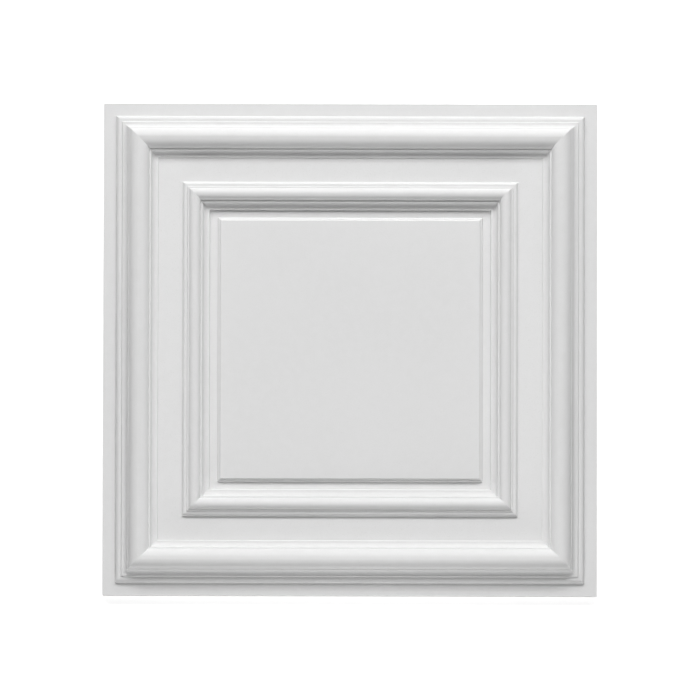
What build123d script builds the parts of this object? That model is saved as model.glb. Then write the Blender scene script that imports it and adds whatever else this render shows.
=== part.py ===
from build123d import *
import math
import os

# Lay-in ceiling panel, moulded in one piece: a flat sheet whose face carries two mitred
# mouldings, one inside the other, round a slightly raised square field.
# Units are millimetres. The origin is the centre of the back face, +Z points out of the
# decorated face and +Y towards the top of the panel as it is usually pictured.
# A slope is in degrees from level. The members run from the panel's edge to its centre.

# Sheet, measured at the plain rim that rests on the ceiling grid
panel_side = 595.0
sheet_thickness = 10.0
rim_width = 15.3

# Outer moulding, climbing from the rim: ovolo, step, cove, fillet, torus
ovolo_riser = 1.5
ovolo_slope = 84.0
ovolo_radius = 4.4
step_tread = 2.3
step_run = 0.9
step_rise = 1.6
cove_tread = 1.7
cove_radius = 4.8
cove_slope = 78.0
cove_riser = 3.5
fillet_tread = 0.8
torus_riser = 3.3
torus_outer_slope = 71.0
torus_outer_radius = 10.2

# Outer moulding, falling to the ground: torus, quirk, scotia, foot
torus_inner_radius = 14.0
torus_inner_slope = 69.0
torus_drop = 1.8
quirk_tread = 1.8
scotia_drop = 3.8
scotia_slope = 74.0
scotia_radius = 5.6
foot_tread = 2.1
foot_run = 0.7
foot_fall = 1.4

# Ground, the flat band between the two mouldings
ground_width = 28.0

# Inner moulding, climbing: ogee, step, bead
ogee_hollow_radius = 1.5
ogee_slope = 66.0
ogee_riser = 2.6
ogee_round_radius = 2.2
bead_step_tread = 2.2
bead_step_run = 0.65
bead_step_rise = 1.7
bead_tread = 1.7
bead_outer_slope = 75.0
bead_outer_radius = 6.5

# Inner moulding, falling: bead, quirk, scotia, foot
bead_inner_radius = 7.1
bead_inner_slope = 80.0
bead_drop = 2.3
bead_quirk_tread = 2.3
bead_scotia_drop = 2.7
bead_scotia_slope = 79.0
bead_scotia_radius = 6.0
bead_foot_tread = 2.0
bead_foot_run = 0.9
bead_foot_fall = 3.8

# Groove, and the two small steps up to the field
groove_width = 9.0
field_step_run = 1.5
field_step_rise = 2.9
field_step_tread = 0.9
field_edge_run = 1.5
field_edge_rise = 3.0

# Rounding that the mould leaves on every sharp corner of the face
arris_radius = 0.4
corner_angle = 12.0
same_place = 0.01


class Section:
    """Outline of the face, drawn member by member from the panel's edge inwards."""

    def __init__(self, start):
        self.point = Vector(*start)
        self.slope = 0.0
        self.lines = []
        self.corners = []

    def turn_to(self, slope):
        if abs(slope - self.slope) > corner_angle:
            self.corners.append(self.point)
        self.slope = slope

    def straight(self, run, rise=0.0):
        self.turn_to(math.degrees(math.atan2(rise, run)))
        end = self.point + Vector(run, rise)
        self.lines.append(Line(self.point, end))
        self.point = end

    def incline(self, length, slope):
        angle = math.radians(slope)
        self.straight(length * math.cos(angle), length * math.sin(angle))

    def arc(self, radius, start_slope, end_slope):
        self.turn_to(start_slope)
        angle = math.radians(start_slope)
        heading = Vector(math.cos(angle), math.sin(angle))
        line = JernArc(self.point, heading, radius, end_slope - start_slope)
        self.lines.append(line)
        self.point = line @ 1
        self.slope = end_slope


def outer_moulding(section):
    section.incline(ovolo_riser, ovolo_slope)
    section.arc(ovolo_radius, ovolo_slope, 0)
    section.straight(step_tread)
    section.straight(step_run, step_rise)
    section.straight(cove_tread)
    section.arc(cove_radius, 0, cove_slope)
    section.incline(cove_riser, cove_slope)
    section.straight(fillet_tread)
    section.incline(torus_riser, torus_outer_slope)
    section.arc(torus_outer_radius, torus_outer_slope, 0)
    section.arc(torus_inner_radius, 0, -torus_inner_slope)
    section.incline(torus_drop, -torus_inner_slope)
    section.straight(quirk_tread)
    section.incline(scotia_drop, -scotia_slope)
    section.arc(scotia_radius, -scotia_slope, 0)
    section.straight(foot_tread)
    section.straight(foot_run, -foot_fall)


def inner_moulding(section):
    section.arc(ogee_hollow_radius, 0, ogee_slope)
    section.incline(ogee_riser, ogee_slope)
    section.arc(ogee_round_radius, ogee_slope, 0)
    section.straight(bead_step_tread)
    section.straight(bead_step_run, bead_step_rise)
    section.straight(bead_tread)
    section.arc(bead_outer_radius, bead_outer_slope, 0)
    section.arc(bead_inner_radius, 0, -bead_inner_slope)
    section.incline(bead_drop, -bead_inner_slope)
    section.straight(bead_quirk_tread)
    section.incline(bead_scotia_drop, -bead_scotia_slope)
    section.arc(bead_scotia_radius, -bead_scotia_slope, 0)
    section.straight(bead_foot_tread)
    section.straight(bead_foot_run, -bead_foot_fall)


def field_edge(section):
    section.straight(groove_width)
    section.straight(field_step_run, field_step_rise)
    section.straight(field_step_tread)
    section.straight(field_edge_run, field_edge_rise)


def half_section():
    """Section through the panel from its edge to its centre, as a face in X and Y."""
    section = Section((0, sheet_thickness))
    section.straight(rim_width)
    outer_moulding(section)
    section.straight(ground_width)
    inner_moulding(section)
    field_edge(section)
    section.straight(panel_side / 2 - section.point.X)
    centre = section.point
    outline = section.lines + [
        Line(centre, (centre.X, 0)),
        Line((centre.X, 0), (0, 0)),
        Line((0, 0), (0, sheet_thickness)),
    ]
    face = make_face(Wire(outline))
    sharp = [v for v in face.vertices() if is_corner(v, section.corners)]
    return fillet(sharp, arris_radius)


def is_corner(vertex, corners):
    place = Vector(vertex.X, vertex.Y)
    return any((place - corner).length < same_place for corner in corners)


def panel_side_bar():
    """One side of the panel: its section drawn out and mitred to the panel's centre."""
    half = panel_side / 2
    bar = extrude(Plane.XZ * half_section(), half, both=True)
    bar = Pos(-half, 0, 0) * bar
    mitre = make_face(Polyline((0, 0), (-half, -half), (-half, half), (0, 0)))
    depth = bar.bounding_box().size.Z
    return bar & extrude(mitre, depth)


def ceiling_panel():
    """The whole panel: four like sides joined along their mitres."""
    side = panel_side_bar()
    whole = side
    for turn in (90, 180, 270):
        whole = whole + Rot(0, 0, turn) * side
    return whole.clean()


os.makedirs("parts", exist_ok=True)
panel = ceiling_panel()
panel.label = "ceiling_panel"
export_step(panel, "parts/ceiling_panel.step")
print("size", panel.bounding_box().size)
print("litres", panel.volume / 1e6)
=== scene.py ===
import math

import bpy
from mathutils import Matrix

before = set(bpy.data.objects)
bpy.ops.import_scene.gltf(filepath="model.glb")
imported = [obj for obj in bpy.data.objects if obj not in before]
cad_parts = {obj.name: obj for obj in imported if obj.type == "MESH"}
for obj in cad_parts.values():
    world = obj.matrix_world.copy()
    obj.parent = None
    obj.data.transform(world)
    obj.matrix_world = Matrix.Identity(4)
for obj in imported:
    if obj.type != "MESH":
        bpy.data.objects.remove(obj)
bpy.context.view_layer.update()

SCENE = bpy.context.scene
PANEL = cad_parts["ceiling_panel"]

# Lengths are in metres. The panel lies on its back with its face up (+Z) and its top at +Y.

# Camera: far away and almost straight over the panel, leaning a little towards -Y
FRAME_WIDTH = 0.8436
CAMERA_LENS = 1000.0
CAMERA_SENSOR = 36.0
CAMERA_TILT = math.radians(5.3)
CAMERA_ROLL = math.radians(0.129)
CAMERA_TARGET = (-0.0001, 0.0004, 0.0)

# Floor, which glows to the camera so that it looks white
FLOOR_HALF = 15.0
FLOOR_DROP = 0.0004
FLOOR_COLOUR = (0.9, 0.9, 0.9, 1.0)
FLOOR_GLOW = 0.62

WORLD_COLOUR = (1, 1, 1, 1)

# Softboxes: name, azimuth from +Y towards +X and elevation in degrees, distance, side, watts
SOFTBOXES = (
    ("key", 0.0, 42.0, 8.0, 2.3, 236.0),
    ("key_right", 30.0, 38.0, 3.0, 0.9, 25.0),
    ("key_left", -30.0, 38.0, 3.0, 0.9, 25.0),
    ("wing_right", 55.0, 30.0, 2.0, 0.7, 4.6),
    ("wing_left", -55.0, 30.0, 2.0, 0.7, 4.6),
    ("fill_high", 180.0, 55.0, 1.0, 0.45, 1.9),
    ("fill_low", 180.0, 12.0, 2.0, 0.7, 10.6),
)

# Primer on the face, and how much of the thick coat and of the pores shows
PRIMER_COLOUR = (0.785, 0.785, 0.785)
PRIMER_THIN = (0.772, 0.772, 0.771)
PRIMER_THICK = (0.794, 0.794, 0.793)
PRIMER_PORE = (0.727, 0.726, 0.722)
PRIMER_RUBBED = (0.766, 0.765, 0.762)
THICK_SHARE = 0.5
PORE_SHARE = 0.8
SMOOTHEST = 0.54
ROUGHEST = 0.63
PRIMER_SPECULAR = 0.15

# Crest of the outer moulding, above the back, that a stack of panels rubs smooth
CREST_LOW = 0.0325
CREST_HIGH = 0.0343
CREST_RUB = 0.06
LEAST_WORN = 0.2

# Bare foam of the back, and the heights where the spray runs out on the edges
FOAM_COLOUR = (0.71, 0.685, 0.62)
OVERSPRAY_START = -0.0008
OVERSPRAY_END = 0.0012
OVERSPRAY_RAGGED = 0.0016

# Patterns of the skin: repeats per metre, then octaves of finer noise
RAGGED = (180.0, 2.0)
CLOUD = (6.0, 3.0)
MOTTLE = (110.0, 3.0)
RUB = (60.0, 3.0)
PORE = (1000.0, 1.0)
GRAIN = (70.0, 2.0)
WAVE = (11.0, 1.0)
PEEL = (430.0, 1.0)
GRIT = (2600.0, 2.0)
NIB = 95.0

# Part of a pattern's values that is spread over its whole effect
SPREAD = (0.3, 0.7)
RUB_SPREAD = (0.35, 0.65)
PORE_SPREAD = (0.62, 0.72)
NIB_SPREAD = (0.0, 0.07)

# Relief of the skin
WAVE_HEIGHT = 0.00006
PEEL_HEIGHT = 0.000018
NIB_HEIGHT = 0.00007
PORE_DEPTH = 0.00003
GRIT_HEIGHT = 0.000004

# Places of a colour Mix node's sockets, which share their names with others
MIX_FACTOR = 0
MIX_COLOURS = (6, 7)
MIX_RESULT = 2


def make_camera():
    data = bpy.data.cameras.new("camera")
    data.sensor_width = CAMERA_SENSOR
    data.lens = CAMERA_LENS
    distance = FRAME_WIDTH * CAMERA_LENS / CAMERA_SENSOR
    data.clip_end = 2 * distance
    camera = bpy.data.objects.new("camera", data)
    tilt = Matrix.Rotation(CAMERA_TILT, 4, "X")
    roll = Matrix.Rotation(CAMERA_ROLL, 4, "Z")
    target = Matrix.Translation(CAMERA_TARGET)
    camera.matrix_world = target @ tilt @ Matrix.Translation((0, 0, distance)) @ roll
    SCENE.collection.objects.link(camera)
    SCENE.camera = camera


def seen_directly(nodes, links):
    """1 for a ray from the camera, a mirror or a glass, 0 for the light that falls on the panel."""
    path = nodes.new("ShaderNodeLightPath")
    seen = path.outputs["Is Camera Ray"]
    for ray in ("Is Glossy Ray", "Is Transmission Ray"):
        either = nodes.new("ShaderNodeMath")
        either.operation = "MAXIMUM"
        links.new(seen, either.inputs[0])
        links.new(path.outputs[ray], either.inputs[1])
        seen = either.outputs[0]
    return seen


def floor_material():
    material = bpy.data.materials.new("floor")
    material.use_nodes = True
    nodes, links = material.node_tree.nodes, material.node_tree.links
    nodes.clear()
    diffuse = nodes.new("ShaderNodeBsdfDiffuse")
    diffuse.inputs["Color"].default_value = FLOOR_COLOUR
    glow = nodes.new("ShaderNodeEmission")
    strength = nodes.new("ShaderNodeMath")
    strength.operation = "MULTIPLY"
    strength.inputs[1].default_value = FLOOR_GLOW
    links.new(seen_directly(nodes, links), strength.inputs[0])
    links.new(strength.outputs[0], glow.inputs["Strength"])
    both = nodes.new("ShaderNodeAddShader")
    links.new(diffuse.outputs[0], both.inputs[0])
    links.new(glow.outputs[0], both.inputs[1])
    out = nodes.new("ShaderNodeOutputMaterial")
    links.new(both.outputs[0], out.inputs["Surface"])
    return material


def make_floor():
    mesh = bpy.data.meshes.new("floor")
    corners = [(-1, -1), (1, -1), (1, 1), (-1, 1)]
    points = [(x * FLOOR_HALF, y * FLOOR_HALF, -FLOOR_DROP) for x, y in corners]
    mesh.from_pydata(points, [], [(0, 1, 2, 3)])
    mesh.materials.append(floor_material())
    floor = bpy.data.objects.new("floor", mesh)
    SCENE.collection.objects.link(floor)


def make_world():
    """White to the camera and black to the panel, which only the softboxes light."""
    world = bpy.data.worlds.new("studio")
    world.use_nodes = True
    nodes, links = world.node_tree.nodes, world.node_tree.links
    nodes.clear()
    background = nodes.new("ShaderNodeBackground")
    background.inputs["Color"].default_value = WORLD_COLOUR
    links.new(seen_directly(nodes, links), background.inputs["Strength"])
    out = nodes.new("ShaderNodeOutputWorld")
    links.new(background.outputs[0], out.inputs["Surface"])
    SCENE.world = world


def make_softbox(name, azimuth, elevation, distance, side, watts):
    data = bpy.data.lights.new(name, "AREA")
    data.shape = "SQUARE"
    data.size = side
    data.energy = watts
    lamp = bpy.data.objects.new(name, data)
    turn = Matrix.Rotation(math.radians(-azimuth), 4, "Z")
    lean = Matrix.Rotation(math.radians(elevation - 90), 4, "X")
    lamp.matrix_world = turn @ lean @ Matrix.Translation((0, 0, distance))
    lamp.visible_camera = False
    SCENE.collection.objects.link(lamp)


class Graph:
    """A material's nodes, added one by one."""

    def __init__(self, name):
        self.material = bpy.data.materials.new(name)
        self.material.use_nodes = True
        self.nodes = self.material.node_tree.nodes
        self.links = self.material.node_tree.links
        self.shader = self.nodes["Principled BSDF"]
        self.place = self.nodes.new("ShaderNodeTexCoord").outputs["Object"]

    def height(self):
        node = self.nodes.new("ShaderNodeSeparateXYZ")
        self.links.new(self.place, node.inputs[0])
        return node.outputs["Z"]

    def noise(self, scale, octaves):
        node = self.nodes.new("ShaderNodeTexNoise")
        node.inputs["Scale"].default_value = scale
        node.inputs["Detail"].default_value = octaves
        self.links.new(self.place, node.inputs["Vector"])
        return node.outputs["Factor" if "Factor" in node.outputs else "Fac"]

    def spots(self, scale):
        node = self.nodes.new("ShaderNodeTexVoronoi")
        node.inputs["Scale"].default_value = scale
        self.links.new(self.place, node.inputs["Vector"])
        return node.outputs["Distance"]

    def remap(self, value, spread, low=0.0, high=1.0):
        """Ease from low to high while the value crosses the spread."""
        node = self.nodes.new("ShaderNodeMapRange")
        node.interpolation_type = "SMOOTHSTEP"
        ends = dict(zip(("From Min", "From Max", "To Min", "To Max"), (*spread, low, high)))
        for socket, number in ends.items():
            node.inputs[socket].default_value = number
        self.links.new(value, node.inputs["Value"])
        return node.outputs["Result"]

    def maths(self, operation, first, second):
        node = self.nodes.new("ShaderNodeMath")
        node.operation = operation
        for socket, value in zip(node.inputs, (first, second)):
            if isinstance(value, float):
                socket.default_value = value
            else:
                self.links.new(value, socket)
        return node.outputs[0]

    def mix(self, factor, first, second):
        node = self.nodes.new("ShaderNodeMix")
        node.data_type = "RGBA"
        self.links.new(factor, node.inputs[MIX_FACTOR])
        for place, colour in zip(MIX_COLOURS, (first, second)):
            if isinstance(colour, tuple):
                node.inputs[place].default_value = (*colour, 1.0)
            else:
                self.links.new(colour, node.inputs[place])
        return node.outputs[MIX_RESULT]

    def bump(self, height, metres, under=None):
        node = self.nodes.new("ShaderNodeBump")
        node.inputs["Distance"].default_value = metres
        self.links.new(height, node.inputs["Height"])
        if under is not None:
            self.links.new(under, node.inputs["Normal"])
        return node.outputs["Normal"]


def primer_material():
    """Matt primer sprayed on the face of the foam; the back is left as the mould made it."""
    g = Graph("white_primer")
    z = g.height()
    ragged = g.maths("MULTIPLY", g.noise(*RAGGED), OVERSPRAY_RAGGED)
    sprayed = g.remap(g.maths("SUBTRACT", z, ragged), (OVERSPRAY_START, OVERSPRAY_END))
    crest = g.remap(z, (CREST_LOW, CREST_HIGH))
    worn = g.maths("MULTIPLY", crest, g.remap(g.noise(*RUB), RUB_SPREAD, LEAST_WORN, 1.0))
    pore = g.remap(g.noise(*PORE), PORE_SPREAD)

    face = g.mix(g.remap(g.noise(*MOTTLE), SPREAD), PRIMER_COLOUR, PRIMER_THIN)
    cloud = g.remap(g.noise(*CLOUD), SPREAD)
    face = g.mix(g.maths("MULTIPLY", cloud, THICK_SHARE), face, PRIMER_THICK)
    face = g.mix(worn, face, PRIMER_RUBBED)
    face = g.mix(g.maths("MULTIPLY", pore, PORE_SHARE), face, PRIMER_PORE)
    g.links.new(g.mix(sprayed, FOAM_COLOUR, face), g.shader.inputs["Base Color"])

    grain = g.remap(g.noise(*GRAIN), SPREAD, SMOOTHEST, ROUGHEST)
    rubbed = g.maths("SUBTRACT", grain, g.maths("MULTIPLY", crest, CREST_RUB))
    g.links.new(rubbed, g.shader.inputs["Roughness"])
    g.shader.inputs["Specular IOR Level"].default_value = PRIMER_SPECULAR

    waves = g.bump(g.noise(*WAVE), WAVE_HEIGHT)
    peel = g.bump(g.noise(*PEEL), PEEL_HEIGHT, waves)
    nibs = g.bump(g.remap(g.spots(NIB), NIB_SPREAD, 1.0, 0.0), NIB_HEIGHT, peel)
    pores = g.bump(g.maths("SUBTRACT", 1.0, pore), PORE_DEPTH, nibs)
    grit = g.bump(g.noise(*GRIT), GRIT_HEIGHT, pores)
    g.links.new(grit, g.shader.inputs["Normal"])
    return g.material


make_camera()
make_floor()
make_world()
for softbox in SOFTBOXES:
    make_softbox(*softbox)
PANEL.data.materials.clear()
PANEL.data.materials.append(primer_material())
SCENE.view_settings.view_transform = "Standard"
